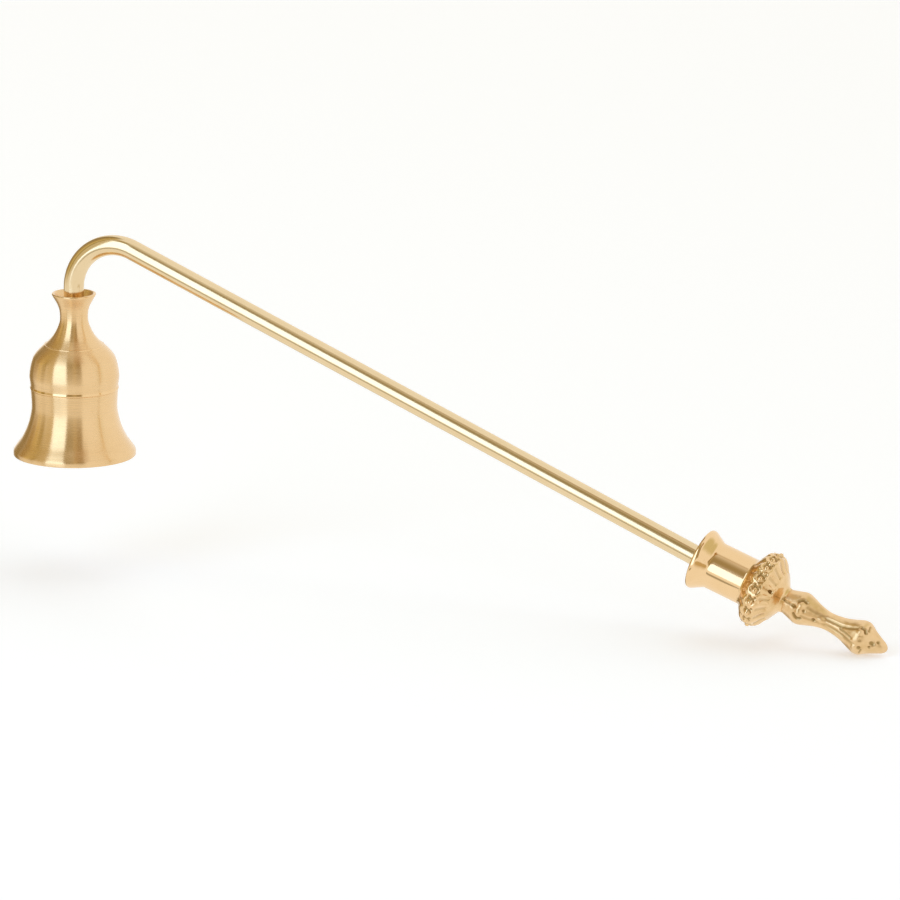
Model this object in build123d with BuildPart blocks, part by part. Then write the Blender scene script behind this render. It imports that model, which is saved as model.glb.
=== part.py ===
from build123d import *
from math import cos, radians, sin, tan
import os

os.makedirs("parts", exist_ok=True)

# A brass candle snuffer, in millimetres. A bell hangs on the turned-down end of a long bent rod.
# The handle is a cup-shaped sleeve, a beaded collar and a cast tail, drawn up on the rod's stud.
# The origin is the centre of the bell's mouth. +Z runs up the bell and +X towards the handle.

# Fits that several pieces share
running_clearance = 0.05
joint_clearance = 0.05
axial_play = 0.1
overrun = 1.0
quarter_turn = 90

# Bell skirt: a flared tube with a flat rim and a spigot that enters the dome
rim_radius = 18.0
rim_width = 1.1
rim_land = 1.1
rim_round = 0.3
waist_radius = 12.6
skirt_top_swell = 0.25
skirt_height = 20.2
skirt_wall = 1.2
flare_radius_share = 0.49
flare_height_share = 0.277
waist_height_share = 0.75
rim_slope_share = -0.3
spigot_length = 3.0
spigot_wall = 0.9
spigot_lead = 0.3

# Bell dome: a round cap that overhangs the skirt a little, so that a dark seam shows
seam_step = 0.15
seam_bevel = 0.3
dome_height = 12.8
dome_swell = 0.22
dome_top_land = 1.5
dome_wall = 1.3
belly_height_share = 0.31
shoulder_radius_share = 0.79
shoulder_height_share = 0.67
shoulder_slope_share = 0.6
dome_top_slope_share = 0.9

# Bell neck: a trumpet with a web inside that the screw passes and a socket that the rod turns in
shoulder_step = 0.2
neck_height = 15.6
neck_wall = 1.1
lip_flare = 2.35
lip_width = 0.75
lip_land = 0.4
lip_round = 0.25
throat_radius_share = 0.4
throat_height_share = 0.2
neck_waist_share = 0.55
register_radius = 7.4
register_wall = 1.2
register_depth = 2.0
web_floor_rise = 1.6
web_thickness = 2.4
socket_depth = 5.5

# Rod: round bar, bent over at the bell and set a touch upwards where it enters the sleeve
rod_dia = 6.0
drop_rise = 1.8
bend_radius = 13.7
fall_angle = 22.8
run_length = 193.6
set_angle = 2.4
set_radius = 110.0
rod_end_chamfer = 0.4

# Shoulder screw and washer that hold the bell
pivot_dia = 4.0
thread_dia = 3.0
thread_length = 7.0
tap_relief = 1.2
screw_head_dia = 7.0
screw_head_height = 2.2
screw_head_round = 0.7
slot_width = 0.9
slot_depth = 1.1
bell_washer_dia = 8.4
bell_washer_gap = 0.8
bell_washer_thickness = 0.5

# Sleeve: a straight cup with a flared lip, its mouth towards the rod
sleeve_length = 15.3
sleeve_radius = 6.97
sleeve_wall = 1.1
sleeve_floor = 2.8
sleeve_lip_flare = 1.98
sleeve_lip_width = 0.8
sleeve_lip_land = 1.0
sleeve_lip_round = 0.6
flare_length = 4.7

# Washer on the sleeve's floor and the stud that draws the handle together
rod_washer_gap = 1.4
rod_washer_thickness = 0.8
stud_dia = 4.0
stud_engagement = 6.5
stud_relief = 1.0
stud_chamfer = 0.4

# Collar: a cast flower, plain towards the sleeve, with beads round its brim and a pit on each face
collar_length = 12.4
collar_seat_step = 0.17
brim_spread = 4.35
collar_neck_wall = 1.75
front_share = 0.153
front_radius_share = 0.448
cheek_share = 0.266
cheek_radius_share = 0.862
brim_share = 0.419
back_share = 0.581
back_radius_share = 0.871
cone_share = 0.75
cone_radius_share = 0.497
bead_count = 18
bead_dia = 1.8
bead_sink = 0.45
pit_count = 2
pit_dia = 1.2
pit_share = 0.73
pit_radius_share = 0.544

# Tail: a cast spindle with two bulges and a blunt tip
tail_length = 33.0
tail_step = 0.2
front_bulge_swell = 1.3
tail_waist_radius = 2.65
end_bulge_swell = 2.55
bulge_round = 1.8
tip_radius = 1.5
front_bulge_share = 0.1485
tail_waist_share = 0.421
end_bulge_share = 0.745
tip_share = 0.967
bulge_slope_share = 0.33

# Heights up the bell's axis
flare_height = flare_height_share * skirt_height
waist_height = waist_height_share * skirt_height
belly_height = skirt_height + belly_height_share * dome_height
shoulder_height = skirt_height + shoulder_height_share * dome_height
dome_top = skirt_height + dome_height
throat_height = dome_top + throat_height_share * neck_height
neck_waist_height = dome_top + neck_waist_share * neck_height
lip_height = dome_top + neck_height
web_floor = dome_top + web_floor_rise
web_top = web_floor + web_thickness
socket_top = web_top + socket_depth

# Radii of the fits
rod_radius = rod_dia / 2
socket_radius = rod_radius + running_clearance
pivot_radius = pivot_dia / 2
pivot_bore = pivot_radius + running_clearance
stud_radius = stud_dia / 2
stud_bore = stud_radius + joint_clearance

# Radii of the bell, from its waist outwards and from its register inwards
flare_radius = waist_radius + flare_radius_share * (rim_radius - waist_radius)
skirt_top_radius = waist_radius + skirt_top_swell
dome_base_radius = skirt_top_radius + seam_step
dome_radius = dome_base_radius + dome_swell
dome_bore = dome_base_radius - dome_wall
spigot_radius = dome_bore - joint_clearance
spigot_bore = spigot_radius - spigot_wall
register_bore = register_radius + joint_clearance
dome_top_radius = register_bore + dome_top_land
shoulder_radius = dome_top_radius + shoulder_radius_share * (dome_radius - dome_top_radius)
neck_base_radius = dome_top_radius - shoulder_step
neck_waist_radius = socket_radius + neck_wall
throat_radius = neck_waist_radius + throat_radius_share * (neck_base_radius - neck_waist_radius)
lip_radius = neck_waist_radius + lip_flare
cavity_radius = register_radius - register_wall
cavity_top_radius = bell_washer_dia / 2 + bell_washer_gap

# Radii of the handle
sleeve_bore = sleeve_radius - sleeve_wall
sleeve_lip_radius = sleeve_radius + sleeve_lip_flare
collar_seat_radius = sleeve_radius - collar_seat_step
brim_radius = collar_seat_radius + brim_spread
front_radius = collar_seat_radius + front_radius_share * brim_spread
cheek_radius = collar_seat_radius + cheek_radius_share * brim_spread
bead_ring_radius = brim_radius - bead_sink
collar_neck_radius = stud_bore + collar_neck_wall
back_radius = collar_neck_radius + back_radius_share * (brim_radius - collar_neck_radius)
cone_radius = collar_neck_radius + cone_radius_share * (brim_radius - collar_neck_radius)
pit_ring_radius = collar_neck_radius + pit_radius_share * (brim_radius - collar_neck_radius)
tail_neck_radius = collar_neck_radius - tail_step
front_bulge_radius = tail_neck_radius + front_bulge_swell
end_bulge_radius = tail_waist_radius + end_bulge_swell

# The screw's stack, from the rod's end down to the head
rod_end = web_top + axial_play
bell_washer_top = web_floor - axial_play
screw_seat = bell_washer_top - bell_washer_thickness
screw_head_bottom = screw_seat - screw_head_height

# The handle's axis, which starts at the centre of the sleeve's lip
bend_start = lip_height + drop_rise
bend_end_x = bend_radius * (1 + sin(radians(fall_angle)))
bend_end_z = bend_start + bend_radius * cos(radians(fall_angle))
handle_fall = fall_angle - set_angle
set_tangent = set_radius * tan(radians(set_angle / 2))
sleeve_lip_x = bend_end_x + run_length * cos(radians(fall_angle))
sleeve_lip_z = bend_end_z - run_length * sin(radians(fall_angle))
handle_origin = (sleeve_lip_x, 0, sleeve_lip_z)
handle_direction = (cos(radians(handle_fall)), 0, -sin(radians(handle_fall)))
handle_axis = Axis(handle_origin, handle_direction)
handle_section = Plane(handle_origin, x_dir=handle_direction, z_dir=(0, -1, 0))
handle_plane = Plane(handle_origin, x_dir=(0, -1, 0), z_dir=handle_direction)

# Stations along the handle
floor_top = sleeve_length - sleeve_floor
rod_shoulder = floor_top - rod_washer_thickness
collar_start = sleeve_length
collar_end = collar_start + collar_length
brim = collar_start + brim_share * collar_length
pit_ring = collar_start + pit_share * collar_length
tail_end = collar_end + tail_length
stud_end = collar_end + stud_engagement
stud_hole_end = stud_end + stud_relief

# Bell skirt
with BuildPart() as bell_skirt:
    with BuildSketch(Plane.XZ):
        with BuildLine():
            land = Line((rim_radius, 0), (rim_radius, rim_land))
            outer = Spline(
                land @ 1,
                (flare_radius, flare_height),
                (waist_radius, waist_height),
                (skirt_top_radius, skirt_height),
                tangents=((rim_slope_share, 1), (0, 1)),
            )
            top = Polyline(
                outer @ 1,
                (spigot_radius, skirt_height),
                (spigot_radius, skirt_height + spigot_length),
                (spigot_bore, skirt_height + spigot_length),
                (spigot_bore, waist_height),
            )
            inner = Spline(
                top @ 1,
                (flare_radius - skirt_wall, flare_height),
                (rim_radius - rim_width, 0),
                tangents=((0, -1), outer % 0 * -1),
            )
            Line(inner @ 1, land @ 0)
        make_face()
    revolve(axis=Axis.Z)
    rim_edge = bell_skirt.edges().group_by(Axis.Z)[0].sort_by(SortBy.RADIUS)[-1]
    fillet(rim_edge, radius=rim_round)
    spigot_edge = bell_skirt.edges().group_by(Axis.Z)[-1].sort_by(SortBy.RADIUS)[-1]
    chamfer(spigot_edge, length=spigot_lead)
bell_skirt.part.label = "bell_skirt"
export_step(bell_skirt.part, "parts/bell_skirt.step")

# Bell dome
with BuildPart() as bell_dome:
    with BuildSketch(Plane.XZ):
        with BuildLine():
            outer = Spline(
                (dome_base_radius, skirt_height),
                (dome_radius, belly_height),
                (shoulder_radius, shoulder_height),
                (dome_top_radius, dome_top),
                tangents=((0, 1), (-1, dome_top_slope_share)),
            )
            top = Polyline(
                outer @ 1,
                (register_bore, dome_top),
                (register_bore, dome_top - register_depth),
            )
            inner = Spline(
                top @ 1,
                (shoulder_radius - dome_wall, shoulder_height - shoulder_slope_share * dome_wall),
                (dome_bore, belly_height),
                tangents=((1, -1), (0, -1)),
            )
            Polyline(inner @ 1, (dome_bore, skirt_height), outer @ 0)
        make_face()
    revolve(axis=Axis.Z)
    seam_edge = bell_dome.edges().group_by(Axis.Z)[0].sort_by(SortBy.RADIUS)[-1]
    chamfer(seam_edge, length=seam_bevel)
bell_dome.part.label = "bell_dome"
export_step(bell_dome.part, "parts/bell_dome.step")

# Bell neck
with BuildPart() as bell_neck:
    with BuildSketch(Plane.XZ):
        with BuildLine():
            outer = Spline(
                (neck_base_radius, dome_top),
                (throat_radius, throat_height),
                (neck_waist_radius, neck_waist_height),
                (lip_radius, lip_height - lip_land),
            )
            mouth_edge = Polyline(
                outer @ 1,
                (lip_radius, lip_height),
                (lip_radius - lip_width, lip_height),
            )
            mouth = Spline(
                mouth_edge @ 1,
                (socket_radius, socket_top),
                tangents=(outer % 1 * -1, (0, -1)),
            )
            Polyline(
                mouth @ 1,
                (socket_radius, web_top),
                (pivot_bore, web_top),
                (pivot_bore, web_floor),
                (cavity_top_radius, web_floor),
                (cavity_radius, dome_top - register_depth),
                (register_radius, dome_top - register_depth),
                (register_radius, dome_top),
                outer @ 0,
            )
        make_face()
    revolve(axis=Axis.Z)
    lip_edge = bell_neck.edges().group_by(Axis.Z)[-1].sort_by(SortBy.RADIUS)[-1]
    fillet(lip_edge, radius=lip_round)
bell_neck.part.label = "bell_neck"
export_step(bell_neck.part, "parts/bell_neck.step")

# Bell washer
with BuildPart() as bell_washer:
    with BuildSketch(Plane.XY.offset(screw_seat)):
        Circle(bell_washer_dia / 2)
        Circle(pivot_bore, mode=Mode.SUBTRACT)
    extrude(amount=bell_washer_thickness)
bell_washer.part.label = "bell_washer"
export_step(bell_washer.part, "parts/bell_washer.step")

# Bell screw: slotted round head, plain shoulder that the bell turns on, thread into the rod
with BuildPart() as bell_screw:
    with BuildSketch(Plane.XY.offset(screw_head_bottom)):
        Circle(screw_head_dia / 2)
    extrude(amount=screw_head_height)
    fillet(bell_screw.edges().group_by(Axis.Z)[0], radius=screw_head_round)
    with BuildSketch(Plane.XY.offset(screw_seat)):
        Circle(pivot_radius)
    extrude(amount=rod_end - screw_seat)
    with BuildSketch(Plane.XY.offset(rod_end)):
        Circle(thread_dia / 2)
    extrude(amount=thread_length)
    with BuildSketch(Plane.XY.offset(screw_head_bottom)):
        Rectangle(screw_head_dia + overrun, slot_width)
    extrude(amount=slot_depth, mode=Mode.SUBTRACT)
bell_screw.part.label = "bell_screw"
export_step(bell_screw.part, "parts/bell_screw.step")

# Rod, with a tapped hole for the bell's screw and a turned-down stud at the handle
with BuildPart() as rod:
    with BuildLine(Plane.XZ):
        drop = Line((0, rod_end), (0, bend_start))
        bend = JernArc(drop @ 1, drop % 1, bend_radius, -(quarter_turn + fall_angle))
        run = PolarLine(bend @ 1, run_length - set_tangent, direction=bend % 1)
        set_bend = JernArc(run @ 1, run % 1, set_radius, set_angle)
        PolarLine(set_bend @ 1, rod_shoulder - set_tangent, direction=set_bend % 1)
    with BuildSketch(Plane.XY.offset(rod_end)):
        Circle(rod_radius)
    sweep()
    chamfer(rod.faces().filter_by(Axis.Z).edges(), length=rod_end_chamfer)
    with BuildSketch(Plane.XY.offset(rod_end)):
        Circle(thread_dia / 2 + joint_clearance)
    extrude(amount=thread_length + tap_relief, mode=Mode.SUBTRACT)
    with BuildSketch(handle_plane.offset(rod_shoulder)):
        Circle(stud_radius)
    extrude(amount=stud_end - rod_shoulder)
    chamfer(rod.edges().filter_by(GeomType.CIRCLE).sort_by(handle_axis)[-1], length=stud_chamfer)
rod.part.label = "rod"
export_step(rod.part, "parts/rod.step")

# Rod washer
with BuildPart() as rod_washer:
    with BuildSketch(handle_plane.offset(rod_shoulder)):
        Circle(sleeve_bore - rod_washer_gap)
        Circle(stud_bore, mode=Mode.SUBTRACT)
    extrude(amount=rod_washer_thickness)
rod_washer.part.label = "rod_washer"
export_step(rod_washer.part, "parts/rod_washer.step")

# Sleeve
with BuildPart() as sleeve:
    with BuildSketch(handle_section):
        with BuildLine():
            Polyline(
                (0, sleeve_lip_radius),
                (sleeve_lip_land, sleeve_lip_radius),
                (flare_length, sleeve_radius),
                (sleeve_length, sleeve_radius),
                (sleeve_length, stud_bore),
                (floor_top, stud_bore),
                (floor_top, sleeve_bore),
                (flare_length, sleeve_bore),
                (0, sleeve_lip_radius - sleeve_lip_width),
                close=True,
            )
        make_face()
    revolve(axis=handle_axis)
    lip_edge = sleeve.edges().group_by(handle_axis)[0].sort_by(SortBy.RADIUS)[-1]
    fillet(lip_edge, radius=sleeve_lip_round)
sleeve.part.label = "sleeve"
export_step(sleeve.part, "parts/sleeve.step")

# Collar
with BuildPart() as collar:
    with BuildSketch(handle_section):
        with BuildLine():
            face = Spline(
                (collar_start, collar_seat_radius),
                (collar_start + front_share * collar_length, front_radius),
                (collar_start + cheek_share * collar_length, cheek_radius),
                (brim, brim_radius),
                (collar_start + back_share * collar_length, back_radius),
                (collar_start + cone_share * collar_length, cone_radius),
                (collar_end, collar_neck_radius),
            )
            Polyline(
                face @ 1,
                (collar_end, stud_bore),
                (collar_start, stud_bore),
                face @ 0,
            )
        make_face()
    revolve(axis=handle_axis)
    with Locations(handle_plane.offset(brim)):
        with PolarLocations(bead_ring_radius, bead_count, start_angle=2 * quarter_turn / bead_count):
            Sphere(bead_dia / 2)
    with Locations(handle_plane.offset(pit_ring)):
        with PolarLocations(pit_ring_radius, pit_count):
            Sphere(pit_dia / 2, mode=Mode.SUBTRACT)
collar.part.label = "collar"
export_step(collar.part, "parts/collar.step")

# Tail
with BuildPart() as tail:
    with BuildSketch(handle_section):
        with BuildLine():
            front = Line(
                (collar_end, tail_neck_radius),
                (collar_end + front_bulge_share * tail_length, front_bulge_radius),
            )
            waist = Spline(
                front @ 1,
                (collar_end + tail_waist_share * tail_length, tail_waist_radius),
                (collar_end + end_bulge_share * tail_length, end_bulge_radius),
                tangents=((1, -bulge_slope_share), (1, bulge_slope_share)),
            )
            back = Line(waist @ 1, (collar_end + tip_share * tail_length, tip_radius))
            tip = Spline(back @ 1, (tail_end, 0), tangents=(back % 1, (0, -1)))
            Polyline(
                tip @ 1,
                (stud_hole_end, 0),
                (stud_hole_end, stud_bore),
                (collar_end, stud_bore),
                front @ 0,
            )
        make_face()
    revolve(axis=handle_axis)
    bulge_edges = tail.edges().filter_by(GeomType.CIRCLE).sort_by(SortBy.RADIUS)[-2:]
    fillet(bulge_edges, radius=bulge_round)
tail.part.label = "tail"
export_step(tail.part, "parts/tail.step")
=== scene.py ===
from math import cos, pi, radians, sin, tan

import bmesh
import bpy
import numpy as np
from mathutils import Matrix, Vector
from mathutils.geometry import interpolate_bezier


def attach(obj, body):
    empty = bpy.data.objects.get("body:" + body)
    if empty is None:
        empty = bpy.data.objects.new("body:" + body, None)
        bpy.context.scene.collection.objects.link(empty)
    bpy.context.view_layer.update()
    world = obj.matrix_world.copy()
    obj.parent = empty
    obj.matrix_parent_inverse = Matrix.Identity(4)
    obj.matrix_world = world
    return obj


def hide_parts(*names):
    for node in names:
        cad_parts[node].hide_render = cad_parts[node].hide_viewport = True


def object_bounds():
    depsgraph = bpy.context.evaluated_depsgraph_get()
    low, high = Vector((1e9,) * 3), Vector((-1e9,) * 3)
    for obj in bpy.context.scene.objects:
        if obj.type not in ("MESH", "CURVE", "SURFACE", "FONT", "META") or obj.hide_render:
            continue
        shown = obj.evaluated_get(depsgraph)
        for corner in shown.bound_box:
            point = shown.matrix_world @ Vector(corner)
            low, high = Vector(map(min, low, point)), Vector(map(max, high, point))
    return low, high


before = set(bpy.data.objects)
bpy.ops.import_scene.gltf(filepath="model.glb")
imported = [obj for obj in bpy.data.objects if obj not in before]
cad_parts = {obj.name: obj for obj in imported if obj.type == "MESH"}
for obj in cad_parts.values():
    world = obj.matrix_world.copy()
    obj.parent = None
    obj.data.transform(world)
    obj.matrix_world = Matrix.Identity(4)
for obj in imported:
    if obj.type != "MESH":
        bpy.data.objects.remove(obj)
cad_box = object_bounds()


# Bell skirt. The flared lower half of the bell, spun in brass and brushed round on the lathe.
# Its rim is faced flat, and a thin spigot at its top enters the dome and is soldered there.

mm = 0.001
full_turn = 2 * pi
corner_steps = 4
longest_run = 1.0 * mm
clear_of_axis = 1.0 * mm
most_halvings = 4
same_point = 1e-7
no_length = 1e-8


def flowing(*knots, steps=8, start=None, end=None):
    """One smooth line through knots of (radius, height), as a turner draws it."""
    knots = [Vector(knot) for knot in knots]
    last = len(knots) - 1
    leads = [(knots[min(i + 1, last)] - knots[max(i - 1, 0)]).normalized() for i in range(last + 1)]
    leads[0] = Vector(start).normalized() if start else leads[0]
    leads[-1] = Vector(end).normalized() if end else leads[-1]
    line = []
    for near, far, lead_near, lead_far in zip(knots, knots[1:], leads, leads[1:]):
        reach = (far - near).length / 3
        stretch = interpolate_bezier(near, near + lead_near * reach, far - lead_far * reach, far, steps + 1)
        line += stretch[:-1]
    return [(point[0], point[1]) for point in line + [knots[-1]]]


def turned(name, outline, turns=192):
    """A lathe piece on the Z axis from a closed outline of (radius, height) in millimetres.
    A third number rounds that corner, and long straight runs are halved to keep the mesh even."""
    bm = bmesh.new()
    points = [bm.verts.new((point[0] * mm, 0, point[1] * mm)) for point in outline]
    bm.faces.new(points)
    for size in sorted({point[2] for point in outline if len(point) == 3}):
        corners = [vert for vert, point in zip(points, outline) if len(point) == 3 and point[2] == size]
        bmesh.ops.bevel(bm, geom=corners, offset=size * mm, affect="VERTICES", segments=corner_steps,
                        profile=0.5, material=-1)
    bmesh.ops.delete(bm, geom=bm.faces[:], context="FACES_ONLY")
    for halving in range(most_halvings):
        long_runs = [edge for edge in bm.edges if edge.calc_length() > longest_run
                     and min(vert.co.x for vert in edge.verts) > clear_of_axis]
        bmesh.ops.subdivide_edges(bm, edges=long_runs, cuts=1)
    bmesh.ops.spin(bm, geom=bm.verts[:] + bm.edges[:], cent=(0, 0, 0), axis=(0, 0, 1),
                   angle=full_turn, steps=turns, use_merge=True)
    bmesh.ops.remove_doubles(bm, verts=bm.verts[:], dist=same_point)
    bmesh.ops.dissolve_degenerate(bm, edges=bm.edges[:], dist=no_length)
    bmesh.ops.recalc_face_normals(bm, faces=bm.faces[:])
    return finished(name, bm)


def finished(name, bm, crease=32):
    """The piece that a bmesh holds, smooth but for edges sharper than the crease angle."""
    mesh = bpy.data.meshes.new(name)
    bm.to_mesh(mesh)
    bm.free()
    mesh.shade_smooth()
    mesh.set_sharp_from_angle(angle=radians(crease))
    piece = bpy.data.objects.new(name, mesh)
    bpy.context.scene.collection.objects.link(piece)
    return piece


def put(tree, kind, values=(), **settings):
    """One shader node. Each value is a number, a colour or another node's output."""
    made = tree.nodes.new("ShaderNode" + kind)
    for setting, value in settings.items():
        setattr(made, setting, value)
    for socket, value in dict(values).items():
        if isinstance(value, bpy.types.NodeSocket):
            tree.links.new(value, made.inputs[socket])
        else:
            made.inputs[socket].default_value = value
    return made


def new_group(name, takes, gives):
    """An empty shader group with its named sockets, and the nodes that stand for them."""
    tree = bpy.data.node_groups.new(name, "ShaderNodeTree")
    for label, kind, start in takes:
        socket = tree.interface.new_socket(label, in_out="INPUT", socket_type="NodeSocket" + kind)
        if start is not None:
            socket.default_value = start
    for label, kind in gives:
        tree.interface.new_socket(label, in_out="OUTPUT", socket_type="NodeSocket" + kind)
    return tree, tree.nodes.new("NodeGroupInput").outputs, tree.nodes.new("NodeGroupOutput").inputs


# Brass tone: the metal's colour drifts a little over the surface, and goes browner in faint clouds
brass_tone, taken, given = new_group(
    "Brass tone",
    [("Point", "Vector", None), ("Metal", "Color", (0.8, 0.6, 0.3, 1)),
     ("Tarnish", "Color", (0.5, 0.3, 0.1, 1)), ("Amount", "Float", 0.2), ("Cloud size", "Float", 120.0)],
    [("Colour", "Color")])
clouds = put(brass_tone, "TexNoise", {"Vector": taken["Point"], "Scale": taken["Cloud size"], "Detail": 5.0,
                                      "Roughness": 0.62})
cloud_share = put(brass_tone, "MapRange", {"Value": clouds.outputs["Fac"], "From Min": 0.38,
                                           "From Max": 0.72})
cloud_amount = put(brass_tone, "Math", {0: cloud_share.outputs["Result"], 1: taken["Amount"]},
                   operation="MULTIPLY")
toned = put(brass_tone, "Mix", {"Factor": cloud_amount.outputs[0], "A": taken["Metal"],
                                "B": taken["Tarnish"]}, data_type="RGBA")
brass_tone.links.new(toned.outputs["Result"], given["Colour"])

# Lathe marks: fine rings about the Z axis of the point that comes in, broken up a little on the way round
ring_stretch = 40.0
outward_share = 0.6
lathe_marks, taken, given = new_group(
    "Lathe marks", [("Point", "Vector", None), ("Rings", "Float", 9000.0)], [("Marks", "Float")])
split = put(lathe_marks, "SeparateXYZ", {0: taken["Point"]})
flat_point = put(lathe_marks, "CombineXYZ", {"X": split.outputs["X"], "Y": split.outputs["Y"]})
reach_out = put(lathe_marks, "VectorMath", {0: flat_point.outputs[0]}, operation="LENGTH")
up_and_out = put(lathe_marks, "Math", {0: reach_out.outputs["Value"], 1: outward_share,
                                       2: split.outputs["Z"]}, operation="MULTIPLY_ADD")
ring_height = put(lathe_marks, "Math", {0: up_and_out.outputs[0], 1: ring_stretch}, operation="MULTIPLY")
ring_point = put(lathe_marks, "CombineXYZ", {"X": split.outputs["X"], "Y": split.outputs["Y"],
                                             "Z": ring_height.outputs[0]})
ring_scale = put(lathe_marks, "Math", {0: taken["Rings"], 1: ring_stretch}, operation="DIVIDE")
rings = put(lathe_marks, "TexNoise", {"Vector": ring_point.outputs[0], "Scale": ring_scale.outputs[0],
                                      "Detail": 3.0, "Roughness": 0.7})
lathe_marks.links.new(rings.outputs["Fac"], given["Marks"])


def brass(name, metal, tarnish, amount, cloud_size):
    """A brass material with its colour and its object coordinates, ready for its own finish."""
    material = bpy.data.materials.new(name)
    material.use_nodes = True
    tree = material.node_tree
    shader = tree.nodes["Principled BSDF"]
    shader.inputs["Metallic"].default_value = 1.0
    point = put(tree, "TexCoord").outputs["Object"]
    tone = put(tree, "Group", {"Point": point, "Metal": (*metal, 1), "Tarnish": (*tarnish, 1),
                               "Amount": amount, "Cloud size": cloud_size}, node_tree=brass_tone)
    tree.links.new(tone.outputs["Colour"], shader.inputs["Base Color"])
    return material, tree, shader, point


satin_brass, tree, shader, point = brass("satin_brass", (0.87, 0.605, 0.32), (0.80, 0.53, 0.25), 0.5, 110.0)
marks = put(tree, "Group", {"Point": point, "Rings": 6000.0}, node_tree=lathe_marks)
sheen = put(tree, "MapRange", {"Value": marks.outputs["Marks"], "From Min": 0.3, "From Max": 0.7,
                               "To Min": 0.23, "To Max": 0.30})
tree.links.new(sheen.outputs["Result"], shader.inputs["Roughness"])
shader.inputs["Anisotropic"].default_value = 1.0
shader.inputs["Anisotropic Rotation"].default_value = 0.25
around = put(tree, "Tangent", direction_type="RADIAL", axis="Z")
tree.links.new(around.outputs["Tangent"], shader.inputs["Tangent"])
brushed = put(tree, "Bump", {"Height": marks.outputs["Marks"], "Strength": 0.03, "Distance": 0.0001})
tree.links.new(brushed.outputs["Normal"], shader.inputs["Normal"])

skirt_outside = flowing((18.05, 1.1), (17.3, 2.6), (15.45, 5.2), (13.7, 9.1), (12.7, 13.3), (12.62, 15.8),
                        (12.88, 20.0), steps=10, start=(0, 1), end=(0.06, 1))
skirt_inside = flowing((10.75, 15.15), (14.05, 5.6), (16.9, 0.0), steps=12, start=(0, -1), end=(0.4, -1))
skirt = turned("skirt", [(18.05, 0.0, 0.3), *skirt_outside[:-1], (12.88, 20.0, 0.15), (11.65, 20.0),
                         (11.65, 23.2, 0.3), (10.75, 23.2), *skirt_inside[:-1], (16.9, 0.0, 0.15)])
skirt.data.materials.append(satin_brass)
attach(skirt, "bell")
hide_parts("bell_skirt")


# Bell dome. The round cap over the skirt, spun in the same brass and brushed the same way.
# Two fine bands are cut bright on it: a sloped one at its joint with the skirt, a round one at the neck.

dome_outside = flowing((12.92, 20.2), (12.93, 21.2), (13.22, 24.2), (12.32, 28.8), (11.2, 30.7), (8.95, 33.0),
                       steps=12, start=(0, 1), end=(-1, 0.9))
dome_inside = flowing((7.45, 31.0), (10.8, 28.0), (11.7, 24.17), steps=10, start=(1, -1), end=(0, -1))
dome = turned("dome", [*dome_outside, (7.45, 33.0), *dome_inside, (11.7, 20.2)])
dome.data.materials.append(satin_brass)
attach(dome, "bell")
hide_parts("bell_dome")

bright_brass, tree, shader, point = brass("bright_cut_brass", (0.87, 0.605, 0.32), (0.80, 0.53, 0.25), 0.4,
                                          300.0)
cut_marks = put(tree, "TexNoise", {"Vector": point, "Scale": 1500.0, "Detail": 3.0})
cut_polish = put(tree, "MapRange", {"Value": cut_marks.outputs["Fac"], "To Min": 0.06, "To Max": 0.14})
tree.links.new(cut_polish.outputs["Result"], shader.inputs["Roughness"])

seam_band = turned("seam_band", [(12.5, 20.02), (13.04, 20.02, 0.12), (13.12, 20.3, 0.1), (12.93, 20.86),
                                 (12.5, 20.86)])
crown_radius = 8.71
crown_height = 32.99
crown_size = 0.28
crown_band = turned("crown_band", [(crown_radius + crown_size * cos(radians(turn)),
                                    crown_height + crown_size * sin(radians(turn)))
                                   for turn in range(0, 360, 15)])
for band in (seam_band, crown_band):
    band.data.materials.append(bright_brass)
    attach(band, "bell")


# Bell neck. A turned trumpet that sits in the dome's top on a register and flares out round the rod.
# A web inside it rides on the screw, and the socket above the web turns on the rod's end.

neck_outside = flowing((8.82, 33.0), (6.25, 35.7), (4.45, 39.3), (4.12, 41.6), (4.55, 44.5), (6.5, 48.2),
                       steps=10)
neck_mouth = flowing((5.75, 48.6), (3.05, 42.5), steps=14, start=(-0.7, -1), end=(0, -1))
neck = turned("neck", [*neck_outside, (6.5, 48.6, 0.25), (5.75, 48.6, 0.12), *neck_mouth[1:], (3.05, 37.0),
                       (2.05, 37.0), (2.05, 34.6), (5.0, 34.6), (6.2, 31.0), (7.4, 31.0), (7.4, 33.0)])
neck.data.materials.append(satin_brass)
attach(neck, "bell")
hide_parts("bell_neck")


# Rod. Round drawn brass bar, polished, bent over at the bell and set up a touch at the handle.
# Its lower end turns in the bell's socket. A thinner stud on the far end draws up the handle.

rod_radius = 3.0
rod_end = 37.1
bend_start = 50.4
bend_radius = 13.7
fall = radians(22.8)
run_length = 193.6
set_up = radians(2.4)
set_radius = 110.0
set_reach = set_radius * tan(set_up / 2)
handle_fall = fall - set_up
shoulder_station = 11.7
stud_radius = 2.0
stud_length = 22.5
run_way = Vector((cos(fall), 0, -sin(fall)))
handle_way = Vector((cos(handle_fall), 0, -sin(handle_fall)))
bend_finish = Vector((bend_radius * (1 + sin(fall)), 0, bend_start + bend_radius * cos(fall)))
lip_centre = bend_finish + run_way * run_length

bm = bmesh.new()


def open_end():
    """The edges at the bar's open end."""
    return [edge for edge in bm.edges if edge.is_boundary]


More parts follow.
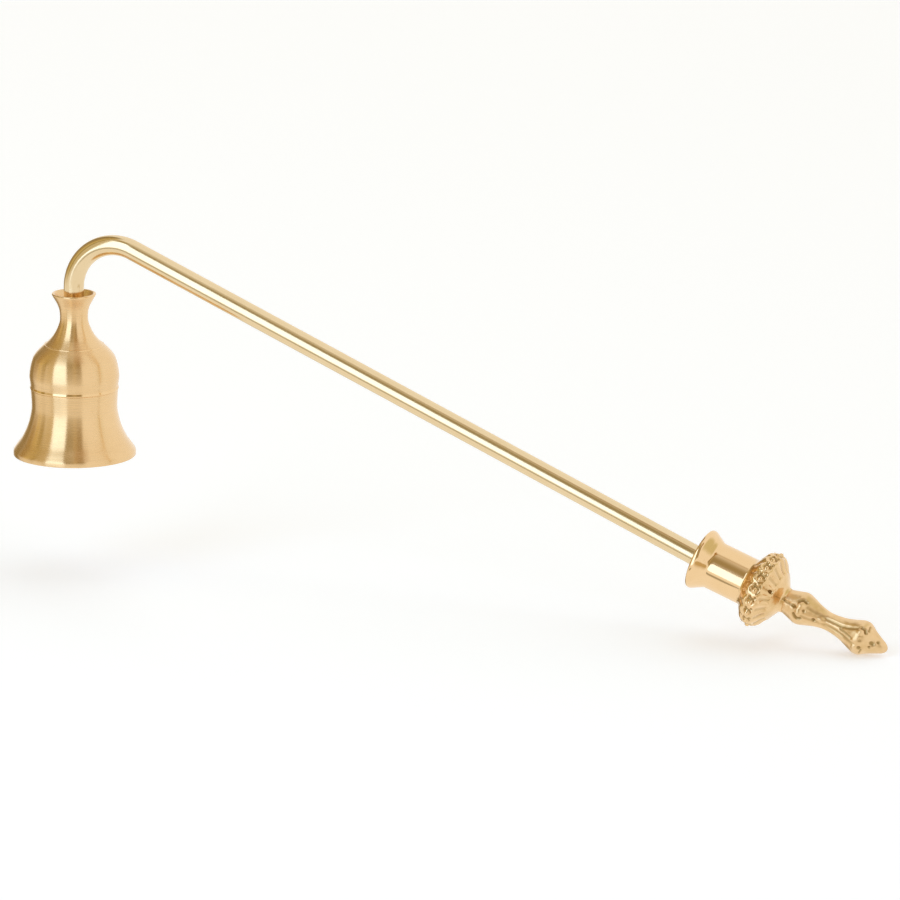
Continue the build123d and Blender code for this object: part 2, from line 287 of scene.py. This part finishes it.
def carried_on(way, spread=1.0, about=Vector()):
    """Carries the bar's open end on by a straight length, and can spread its ring about a point."""
    grown = bmesh.ops.extrude_edge_only(bm, edges=open_end())["geom"]
    ring = [part for part in grown if isinstance(part, bmesh.types.BMVert)]
    bmesh.ops.scale(bm, vec=(spread, spread, spread), space=Matrix.Translation(-about * mm), verts=ring)
    bmesh.ops.translate(bm, vec=way * mm, verts=ring)


def bent_round(centre, angle, steps):
    """Bends the bar's open end round a centre in the bar's own plane."""
    ring = open_end()
    corners = list({vert for edge in ring for vert in edge.verts})
    bmesh.ops.spin(bm, geom=ring + corners, cent=centre * mm, axis=(0, 1, 0), angle=angle, steps=steps)


end_chamfer = 0.4
short_run = 2.0
rod_sides = 72
bend_steps = 56
set_steps = 8
first_ring = bmesh.ops.create_circle(bm, cap_ends=True, radius=(rod_radius - end_chamfer) * mm,
                                     segments=rod_sides)["verts"]
bmesh.ops.translate(bm, vec=(0, 0, rod_end * mm), verts=first_ring)
carried_on(Vector((0, 0, end_chamfer)), rod_radius / (rod_radius - end_chamfer), Vector((0, 0, rod_end)))
carried_on(Vector((0, 0, bend_start - rod_end - end_chamfer)))
bent_round(Vector((bend_radius, 0, bend_start)), pi / 2 + fall, bend_steps)
carried_on(run_way * short_run)
carried_on(run_way * (run_length - set_reach - 2 * short_run))
carried_on(run_way * short_run)
set_centre = lip_centre - run_way * set_reach + Vector((sin(fall), 0, cos(fall))) * set_radius
bent_round(set_centre, -set_up, set_steps)
carried_on(handle_way * (shoulder_station - set_reach))
carried_on(Vector(), stud_radius / rod_radius, lip_centre + handle_way * shoulder_station)
carried_on(handle_way * stud_length)
bmesh.ops.contextual_create(bm, geom=open_end())
bmesh.ops.recalc_face_normals(bm, faces=bm.faces[:])
rod = finished("rod_bar", bm)

rod_brass, tree, shader, point = brass("polished_rod_brass", (0.83, 0.65, 0.395), (0.74, 0.54, 0.28), 0.4,
                                       90.0)
# Drawing leaves faint lines along the bar, so the pattern is turned to the run and stretched along it
along = put(tree, "Mapping", {"Vector": point, "Rotation": (0, fall, 0), "Scale": (0.02, 1, 1)},
            vector_type="TEXTURE")
lines = put(tree, "TexNoise", {"Vector": along.outputs[0], "Scale": 2600.0, "Detail": 3.0})
smears = put(tree, "TexNoise", {"Vector": point, "Scale": 160.0, "Detail": 4.0})
lines_and_smears = put(tree, "Math", {0: lines.outputs["Fac"], 1: smears.outputs["Fac"]},
                       operation="MULTIPLY")
polish = put(tree, "MapRange", {"Value": lines_and_smears.outputs[0], "From Min": 0.1, "From Max": 0.45,
                                "To Min": 0.11, "To Max": 0.17})
tree.links.new(polish.outputs["Result"], shader.inputs["Roughness"])
worn = put(tree, "Bump", {"Height": smears.outputs["Fac"], "Strength": 0.04, "Distance": 0.0004})
tree.links.new(worn.outputs["Normal"], shader.inputs["Normal"])
rod.data.materials.append(rod_brass)
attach(rod, "handle")
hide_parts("rod")


# Screw and washers. A slotted shoulder screw with a thin washer holds the bell up to the rod.
# A thicker washer lies on the sleeve's floor under the rod's shoulder. All are bright zinc-plated steel.

plated_steel = bpy.data.materials.new("plated_steel")
plated_steel.use_nodes = True
tree = plated_steel.node_tree
shader = tree.nodes["Principled BSDF"]
shader.inputs["Metallic"].default_value = 1.0
point = put(tree, "TexCoord").outputs["Object"]
spangle = put(tree, "TexNoise", {"Vector": point, "Scale": 900.0, "Detail": 4.0})
zinc = put(tree, "ValToRGB", {"Fac": spangle.outputs["Fac"]})
zinc.color_ramp.elements[0].position = 0.3
zinc.color_ramp.elements[0].color = (0.50, 0.50, 0.51, 1)
zinc.color_ramp.elements[1].position = 0.7
zinc.color_ramp.elements[1].color = (0.66, 0.67, 0.69, 1)
tree.links.new(zinc.outputs["Color"], shader.inputs["Base Color"])
dull = put(tree, "MapRange", {"Value": spangle.outputs["Fac"], "To Min": 0.24, "To Max": 0.42})
tree.links.new(dull.outputs["Result"], shader.inputs["Roughness"])
for name in ("bell_screw", "bell_washer", "rod_washer"):
    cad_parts[name].data.materials.clear()
    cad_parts[name].data.materials.append(plated_steel)


# Sleeve. A turned brass cup with a flared lip, polished bright, its mouth open towards the rod.
# The stud passes through its floor, and the collar bears on its closed end.

# The handle's own frame: Z runs down the handle, and X points to the side where the tail's relief is centred
relief_tilt = radians(14)
handle_up = Vector((sin(handle_fall), 0, cos(handle_fall)))
relief_side = Vector((0, -cos(relief_tilt), 0)) + handle_up * sin(relief_tilt)
handle_turn = Matrix((relief_side, handle_way.cross(relief_side), handle_way)).transposed()
handle_place = Matrix.Translation(lip_centre * mm) @ handle_turn.to_4x4()

flare = flowing((9.0, 0.4), (8.8, 1.05), (7.8, 2.8), (7.0, 4.75), steps=10, start=(0, 1), end=(0, 1))
sleeve = turned("cup_sleeve", [(9.0, -0.6, 0.65), *flare, (7.0, 15.3), (2.05, 15.3), (2.05, 12.5),
                               (5.87, 12.5, 0.3), (5.87, 4.7, 0.3), (8.0, -0.6, 0.2)])
sleeve.data.transform(handle_place)

sleeve_brass, tree, shader, point = brass("polished_sleeve_brass", (0.89, 0.625, 0.345), (0.80, 0.53, 0.25),
                                          0.35, 140.0)
centred = put(tree, "Mapping", {"Vector": point, "Location": lip_centre * mm,
                                "Rotation": handle_turn.to_euler()}, vector_type="TEXTURE")
marks = put(tree, "Group", {"Point": centred.outputs[0], "Rings": 5000.0}, node_tree=lathe_marks)
buffed = put(tree, "TexNoise", {"Vector": point, "Scale": 220.0, "Detail": 4.0})
polish = put(tree, "MapRange", {"Value": buffed.outputs["Fac"], "From Min": 0.3, "From Max": 0.7,
                                "To Min": 0.05, "To Max": 0.11})
tree.links.new(polish.outputs["Result"], shader.inputs["Roughness"])
faint_rings = put(tree, "Bump", {"Height": marks.outputs["Marks"], "Strength": 0.012, "Distance": 0.0001})
tree.links.new(faint_rings.outputs["Normal"], shader.inputs["Normal"])
sleeve.data.materials.append(sleeve_brass)
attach(sleeve, "handle")
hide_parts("sleeve")


# Collar. A cast brass flower that starts flush with the sleeve, chased all round and then polished.
# Each of its 18 petals carries a bead in a round niche, and a deep pit marks the middle of its front
# and of its back.

petals = 18
bead_phase = 1.4
bead_station = 20.6
bead_size = 0.75
niche_swing = 2.0
niche_reach = 1.05
niche_width = 0.38
front_pit_station = 19.9
back_pit_station = 21.7
deep_pit_station = 24.5
bore_skin = 2.2


def chased(piece, cuts, shallow=0.12, deepest=0.45):
    """Works relief into a dense turned piece, but not into its bore. The cuts give, in millimetres, how far
    each point moves out. How far below the shallow cuts a point ends up is kept as the piece's own attribute,
    which the finish darkens as painted shade."""
    mesh = piece.data
    place = np.empty(len(mesh.vertices) * 3)
    mesh.vertices.foreach_get("co", place)
    place = place.reshape(-1, 3)
    out = np.empty(len(mesh.vertices) * 3)
    mesh.vertices.foreach_get("normal", out)
    out = out.reshape(-1, 3)
    radius = np.hypot(place[:, 0], place[:, 1]) / mm
    angle = np.degrees(np.arctan2(place[:, 1], place[:, 0]))
    moved = cuts(place[:, 2] / mm, angle, radius)
    moved[radius < bore_skin] = 0.0
    mesh.vertices.foreach_set("co", (place + out * moved[:, None] * mm).ravel())
    sunk = np.clip((-moved - shallow) / (deepest - shallow), 0, 1)
    recess = mesh.attributes.new("recess", "FLOAT", "POINT")
    recess.data.foreach_set("value", sunk.astype(np.float32))
    mesh.update()


def eased(value, low, high):
    """A soft step from 0 at low to 1 at high."""
    share = np.clip((value - low) / (high - low), 0, 1)
    return share * share * (3 - 2 * share)


def spot(station, angle, radius, at, size):
    """1 at the middle of a round spot on the surface, easing to 0 at its edge."""
    off = np.hypot(station - at[0], np.radians(angle - at[1]) * radius)
    return 1 - eased(off, 0, size)


def ball(station, angle, radius, at, size):
    """The height of a round bead over the surface, as a share of its size."""
    off = np.hypot(station - at[0], np.radians(angle - at[1]) * radius) / size
    return np.sqrt(np.clip(1 - off * off, 0, 1))


def line(station, angle, radius, path, width):
    """1 along a chased line through points of (station, angle), easing to 0 at its sides."""
    nearest = np.full(len(station), 99.0)
    for (a_station, a_angle), (b_station, b_angle) in zip(path, path[1:]):
        run, swing = b_station - a_station, np.radians(b_angle - a_angle) * radius
        to_run, to_swing = station - a_station, np.radians(angle - a_angle) * radius
        share = np.clip((to_run * run + to_swing * swing) / (run * run + swing * swing + 1e-9), 0, 1)
        nearest = np.minimum(nearest, np.hypot(to_run - share * run, to_swing - share * swing))
    return 1 - eased(nearest, 0, width)


def collar_cuts(station, angle, radius):
    """The collar's relief: how far each point moves out, in millimetres."""
    pitch = 360 / petals
    swing = (angle - bead_phase + pitch / 2) % pitch - pitch / 2
    between = pitch / 2 - np.abs(swing)
    share = np.abs(swing) / (pitch / 2)
    # A round lobe under each bead, on the side towards the sleeve
    lobe = eased(station, 16.3, 17.4) * (1 - eased(station, 18.7, 19.5))
    moved = lobe * (0.46 * (1 - share ** 2) - 0.24)
    # The beads, each in a niche that is deeper on one side, with a pit before and behind each gap
    niche = np.hypot(station - bead_station, np.radians(swing + niche_swing) * radius)
    niche_side = 0.55 - 0.45 * np.clip(swing / 4, -1, 1)
    moved -= 0.50 * np.exp(-((niche - niche_reach) / niche_width) ** 2) * niche_side
    moved += 0.50 * ball(station, swing, radius, (bead_station, 0), bead_size)
    moved -= 0.50 * spot(station, between, radius, (front_pit_station, 0), 0.75)
    moved -= 0.52 * spot(station, between, radius, (back_pit_station, 0), 0.8)
    # The petals, and the two deep pits
    petal = eased(station, 22.1, 22.9) * (1 - eased(station + 0.35 * share ** 2, 24.95, 25.25))
    moved += petal * (0.18 * np.cos(pi * share) - 0.08)
    pit_swing = (angle - bead_phase + pitch / 2 + 90) % 180 - 90
    moved -= 0.75 * spot(station, pit_swing, radius, (deep_pit_station, 0), 0.72)
    return moved


collar_front = flowing((7.0, 15.3), (8.7, 17.2), (10.6, 18.55), (11.12, 20.4), (10.75, 22.3), (8.25, 24.1),
                       (7.0, 25.3), steps=20, start=(0, 1), end=(-1.5, 1))
collar = turned("beaded_collar", [*collar_front, (3.95, 27.05, 0.35), (3.65, 28.1), (2.05, 28.1),
                                  (2.05, 15.3)], turns=504)
chased(collar, collar_cuts)
collar.data.transform(handle_place)


def cast(name, worn, dull):
    """Cast brass, as smooth as its wear has left it and rougher in its recesses, which painted shade darkens.
    """
    material, tree, shader, point = brass(name, (0.87, 0.61, 0.33), (0.70, 0.46, 0.20), 0.7, 260.0)
    recess = put(tree, "Attribute", attribute_name="recess")
    # Painted shade: the recesses are darkened towards a deep brown, broken into patches by this noise
    recess_patches = put(tree, "TexNoise", {"Vector": point, "Scale": 700.0, "Detail": 4.0})
    recess_patch_share = put(tree, "MapRange", {"Value": recess_patches.outputs["Fac"], "To Min": 0.55, "To Max": 1.0})
    recess_shade_and_dulling = put(tree, "Math", {0: recess.outputs["Fac"], 1: recess_patch_share.outputs["Result"]},
               operation="MULTIPLY")
    tone_colour = shader.inputs["Base Color"].links[0].from_socket
    # The deep brown mixed in here is painted shade in the recesses
    shaded_tone = put(tree, "Mix", {"Factor": recess_shade_and_dulling.outputs[0], "A": tone_colour, "B": (0.33, 0.205, 0.055, 1)},
                   data_type="RGBA")
    tree.links.new(shaded_tone.outputs["Result"], shader.inputs["Base Color"])
    cast_polish = put(tree, "MapRange", {"Value": recess_shade_and_dulling.outputs[0], "To Min": worn, "To Max": dull})
    tree.links.new(cast_polish.outputs["Result"], shader.inputs["Roughness"])
    swells = put(tree, "TexNoise", {"Vector": point, "Scale": 420.0, "Detail": 1.0})
    uneven = put(tree, "Bump", {"Height": swells.outputs["Fac"], "Strength": 0.5, "Distance": 0.0005})
    skin = put(tree, "TexNoise", {"Vector": point, "Scale": 1100.0, "Detail": 3.0})
    cast_skin = put(tree, "Bump", {"Height": skin.outputs["Fac"], "Strength": 0.10, "Distance": 0.0002,
                                   "Normal": uneven.outputs["Normal"]})
    tree.links.new(cast_skin.outputs["Normal"], shader.inputs["Normal"])
    return material


collar.data.materials.append(cast("collar_cast_brass", 0.19, 0.45))
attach(collar, "handle")
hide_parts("collar")


# Tail. A cast brass spindle with two angular bulges, screwed on the stud's end against the collar.
# Its front and back carry the same chased relief: a bud, two stems down the waist, and curled leaves
# at the end.


def tail_cuts(station, angle, radius):
    """The tail's relief: how far each point moves out, in millimetres."""
    swing = (angle + 90) % 180 - 90
    side = np.abs(swing)
    # The bud on the front bulge: a groove up to it, two round leaves with a dark curl beside each, its eye
    moved = -0.24 * line(station, swing, radius, [(28.1, -5), (30.4, -3), (32.2, -1)], 0.7)
    moved -= 0.30 * spot(station, swing, radius, (31.3, -1), 1.1)
    moved += 0.40 * spot(station, side, radius, (33.4, 13), 1.3)
    moved -= 0.48 * line(station, side, radius, [(32.2, 24), (33.0, 33), (33.6, 36), (34.5, 34)], 0.75)
    moved -= 0.46 * spot(station, swing, radius, (34.7, 0), 0.75)
    # Two stems down the waist, with a knot on the lower one
    upper_stem = [(35.2, -16), (38.9, -15), (42.6, -15), (46.2, -13), (49.4, -23), (52.3, -36)]
    lower_stem = [(34.4, 21), (37.5, 25), (40.0, 24), (43.0, 22), (46.2, 24), (49.2, 25), (51.9, 25)]
    deeper = 0.18 + 0.10 * eased(station, 40.0, 46.0) * (1 - eased(station, 48.0, 52.0))
    moved -= deeper * line(station, swing, radius, upper_stem, 0.85)
    moved -= deeper * line(station, swing, radius, lower_stem, 0.85)
    moved -= 0.30 * line(station, swing, radius, [(46.6, 2), (48.5, 6), (50.4, 11)], 0.75)
    moved -= 0.44 * spot(station, swing, radius, (38.1, 22), 0.8)
    moved += 0.20 * spot(station, swing, radius, (40.2, 8), 1.5)
    # Each stem ends in a curled leaf on the end bulge
    moved -= 0.50 * line(station, swing, radius, [(52.3, -37), (53.4, -37), (53.9, -28)], 0.7)
    moved += 0.42 * spot(station, swing, radius, (52.4, -22), 1.3)
    moved += 0.42 * spot(station, swing, radius, (52.2, 37), 1.2)
    moved -= 0.54 * spot(station, swing, radius, (53.7, 34), 0.95)
    moved -= 0.30 * line(station, side, radius, [(54.0, 64), (54.4, 42)], 0.5)
    moved -= 0.18 * spot(station, swing, radius, (53.2, 3), 0.9)
    # Pits over the tip
    moved -= 0.54 * spot(station, swing, radius, (56.5, -2), 1.15)
    moved -= 0.46 * spot(station, swing, radius, (57.9, -26), 0.8)
    moved -= 0.48 * spot(station, swing, radius, (59.0, 0), 0.8)
    moved -= 0.42 * spot(station, swing, radius, (56.2, 22), 0.65)
    return moved


tail_line = (flowing((3.5, 28.0), (4.74, 32.1), steps=40, start=(0.3, 1), end=(0.3, 1))[:-1]
             + flowing((4.74, 32.1), (4.74, 33.8), steps=14, start=(0.3, 1), end=(-0.25, 1))[:-1]
             + flowing((4.74, 33.8), (3.28, 38.1), (2.68, 41.2), (2.80, 44.0), (3.42, 47.1), (4.95, 51.3),
                       steps=30, start=(-0.25, 1), end=(0.3, 1))[:-1]
             + flowing((4.95, 51.3), (4.85, 53.5), steps=20, start=(0.3, 1), end=(-0.42, 1))[:-1]
             + flowing((4.85, 53.5), (3.5, 55.7), (1.85, 59.1), steps=28, start=(-0.42, 1),
                       end=(-0.45, 1))[:-1]
             + flowing((1.85, 59.1), (0.0, 60.7), steps=14, start=(-0.45, 1), end=(-1, 0)))
tail = turned("spindle_tail", [*tail_line, (0.0, 35.2), (2.05, 35.2), (2.05, 28.0)], turns=256)
chased(tail, tail_cuts, shallow=0.04, deepest=0.34)
tail.data.transform(handle_place)
tail.data.materials.append(cast("tail_cast_brass", 0.33, 0.48))
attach(tail, "handle")
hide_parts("tail")


# Studio. A plain white floor under the object and a white tent of light round it.
# The tent has a tall window on its left, and the dim warm room shows round the camera and far to the left.

camera_azimuth = radians(22.21)
camera_height = radians(13.63)
camera_roll = radians(0.26)
to_the_right = Vector((cos(camera_azimuth), sin(camera_azimuth), 0))
to_the_front = Vector((sin(camera_azimuth), -cos(camera_azimuth), 0))
tent_white = (1.0, 1.0, 0.99, 1)

floor_reach = 6.0
floor_gap = 0.2 * mm
floor_lift = 0.3
floor_height = cad_box[0][2] - floor_gap
bm = bmesh.new()
bmesh.ops.create_grid(bm, x_segments=1, y_segments=1, size=floor_reach)
bmesh.ops.translate(bm, vec=(0, 0, floor_height), verts=bm.verts[:])
floor = finished("floor", bm)
floor_white = bpy.data.materials.new("floor_white")
floor_white.use_nodes = True
tree = floor_white.node_tree
tree.nodes.remove(tree.nodes["Principled BSDF"])
paper = put(tree, "BsdfDiffuse", {"Color": (0.93, 0.93, 0.925, 1)})
seen = put(tree, "LightPath").outputs["Is Camera Ray"]
lift = put(tree, "Math", {0: seen, 1: floor_lift}, operation="MULTIPLY")
glow = put(tree, "Emission", {"Color": (0.80, 0.88, 1.0, 1), "Strength": lift.outputs[0]})
lit_paper = put(tree, "AddShader", {0: paper.outputs[0], 1: glow.outputs[0]})
tree.links.new(lit_paper.outputs[0], tree.nodes["Material Output"].inputs["Surface"])
floor.data.materials.append(floor_white)
floor.visible_glossy = False


def card(name, corners):
    """A card that only reflections show. It comes back with its node tree, ready for its light."""
    bm = bmesh.new()
    bm.faces.new([bm.verts.new(corner) for corner in corners])
    sheet = finished(name, bm)
    light = bpy.data.materials.new(name + "_light")
    light.use_nodes = True
    light.node_tree.nodes.remove(light.node_tree.nodes["Principled BSDF"])
    sheet.data.materials.append(light)
    sheet.visible_camera = False
    return sheet, light.node_tree


# The tall window, whose frame leans to the left as it rises
sill = Vector((0.12, 0, 0)) - to_the_right * 1.02 + to_the_front * 1.085
along_sill = to_the_right * 0.788 + to_the_front * 0.616
window, tree = card("window", [sill + along_sill * side + Vector((0, 0, rise))
                               for side, rise in ((-0.37, -0.25), (0.64, -0.25), (0.28, 2.0), (-0.62, 2.0))])
sky = put(tree, "Emission", {"Color": (0.65, 0.79, 1.0, 1), "Strength": 2.4})
tree.links.new(sky.outputs[0], tree.nodes["Material Output"].inputs["Surface"])


def dull_card(name, middle, along, across, colour):
    """A card near the handle, dull in its middle and as pale as the tent at its edges."""
    sheet, tree = card(name, [middle + along * a + across * b
                              for a, b in ((-1, -1), (1, -1), (1, 1), (-1, 1))])
    point = put(tree, "TexCoord").outputs["Object"]
    offset = put(tree, "VectorMath", {0: point, 1: middle}, operation="SUBTRACT")
    shares = [put(tree, "VectorMath", {0: offset.outputs[0], 1: side / side.length_squared},
                  operation="DOT_PRODUCT") for side in (along, across)]
    both = put(tree, "CombineXYZ", {"X": shares[0].outputs["Value"], "Y": shares[1].outputs["Value"]})
    reach_out = put(tree, "VectorMath", {0: both.outputs[0]}, operation="LENGTH")
    dullness = put(tree, "MapRange", {"Value": reach_out.outputs["Value"], "From Min": 0.35, "From Max": 1.0,
                                      "To Min": 1.0, "To Max": 0.0}, interpolation_type="SMOOTHSTEP")
    tone = put(tree, "Mix", {"Factor": dullness.outputs["Result"], "A": tent_white, "B": (*colour, 1)},
               data_type="RGBA")
    glow = put(tree, "Emission", {"Color": tone.outputs["Result"], "Strength": 1.0})
    tree.links.new(glow.outputs[0], tree.nodes["Material Output"].inputs["Surface"])
    sheet.visible_diffuse = False
    sheet.visible_shadow = False


# Two such cards show in the sleeve's flare: an olive one stands to its right, and a brown one lies in front
# of it as a painted shadow, standing for the handle's shadow on the floor that reflections don't see
dull_card("olive_card", lip_centre * mm + to_the_right * 0.073 + to_the_front * 0.020 + Vector((0, 0, 0.049)),
          (to_the_right * 0.259 - to_the_front * 0.966) * 0.08, Vector((0, 0, 0.034)), (0.71, 0.69, 0.47))
# The brown card is painted shadow: the handle's own shadow on the floor, as the flare reflects it
dull_card("floor_shadow_card", lip_centre * mm + to_the_right * 0.024 + to_the_front * 0.082 - Vector((0, 0, 0.022)),
          (to_the_right * 0.24 + to_the_front * 0.97) * 0.07, to_the_right * 0.03, (0.62, 0.50, 0.28))

world = bpy.data.worlds.new("light_tent")
bpy.context.scene.world = world
world.use_nodes = True
tree = world.node_tree
way = put(tree, "TexCoord").outputs["Generated"]
rightward = put(tree, "VectorMath", {0: way, 1: to_the_right}, operation="DOT_PRODUCT")
frontward = put(tree, "VectorMath", {0: way, 1: to_the_front}, operation="DOT_PRODUCT")
round_turn = put(tree, "Math", {0: rightward.outputs["Value"], 1: frontward.outputs["Value"]},
                 operation="ARCTAN2")
height = put(tree, "Math", {0: put(tree, "SeparateXYZ", {0: way}).outputs["Z"]}, operation="ARCSINE")


def between_angles(value, low, high, soft, soft_high=None):
    """1 between two angles in degrees, with soft edges. The upper edge can have a softness of its own."""
    soft_high = soft_high or soft
    rise = put(tree, "MapRange", {"Value": value, "From Min": radians(low - soft),
                                  "From Max": radians(low + soft)}, interpolation_type="SMOOTHSTEP")
    drop = put(tree, "MapRange", {"Value": value, "From Min": radians(high - soft_high),
                                  "From Max": radians(high + soft_high), "To Min": 1.0, "To Max": 0.0},
               interpolation_type="SMOOTHSTEP")
    both = put(tree, "Math", {0: rise.outputs["Result"], 1: drop.outputs["Result"]}, operation="MULTIPLY")
    return both.outputs[0]


# The room beyond the tent, in degrees: each zone's colour, then from where to where and how softly it runs
# round from the camera towards the right, and the same for its height
tent = tent_white
zones = (
    ((0.39, 0.325, 0.185), (-38, 21, 3), (3, 68, 6, 21)),
    ((0.39, 0.31, 0.165), (1, 22, 3), (3, 72, 6)),
    ((0.55, 0.46, 0.27), (-2, 8, 3), (3, 58, 6)),
    ((0.44, 0.26, 0.08), (1, 42, 4), (52, 74, 5)),
    ((0.54, 0.51, 0.46), (-42, -24.5, 2), (4, 38, 6)),
    ((0.46, 0.39, 0.20), (-72, -26, 6), (54, 74, 5)),
    ((0.68, 0.60, 0.40), (-78, -50, 5), (-6, 54, 6)),
    ((0.44, 0.345, 0.12), (-96, -80, 4), (-6, 74, 8)),
    ((0.68, 0.555, 0.23), (-111, -96, 4), (-6, 74, 8)),
    ((0.43, 0.30, 0.09), (-129, -111, 4), (-6, 74, 8)),
    ((0.35, 0.27, 0.13), (-160, -129, 6), (-40, 74, 8)),
    ((0.44, 0.42, 0.34), (-66, -34, 4), (-27.5, -19.5, 2.5)),
)
for colour, sideways, upwards in zones:
    share = put(tree, "Math", {0: between_angles(round_turn.outputs[0], *sideways),
                               1: between_angles(height.outputs[0], *upwards)}, operation="MULTIPLY")
    tent = put(tree, "Mix", {"Factor": share.outputs[0], "A": tent, "B": (*colour, 1)},
               data_type="RGBA").outputs["Result"]
seen = put(tree, "LightPath").outputs["Is Camera Ray"]
backdrop = put(tree, "Mix", {"Factor": seen, "A": tent, "B": tent_white}, data_type="RGBA")
tree.links.new(backdrop.outputs["Result"], tree.nodes["Background"].inputs["Color"])

camera = bpy.data.objects.new("camera", bpy.data.cameras.new("camera"))
bpy.context.scene.collection.objects.link(camera)
bpy.context.scene.camera = camera
camera.data.sensor_width = 36
camera.data.lens = 359.2
camera.data.clip_end = 50
camera_distance = 2.6
back = to_the_front * cos(camera_height) + Vector((0, 0, sin(camera_height)))
up = back.cross(to_the_right)
rolled_right = to_the_right * cos(camera_roll) + up * sin(camera_roll)
rolled_up = up * cos(camera_roll) - to_the_right * sin(camera_roll)
aim = Vector((120, 0, 10)) * mm - to_the_right * 0.53 * mm + up * 2.62 * mm
camera.matrix_world = (Matrix.Translation(aim + back * camera_distance)
                       @ Matrix((rolled_right, rolled_up, back)).transposed().to_4x4())

bpy.context.scene.view_settings.view_transform = "Standard"
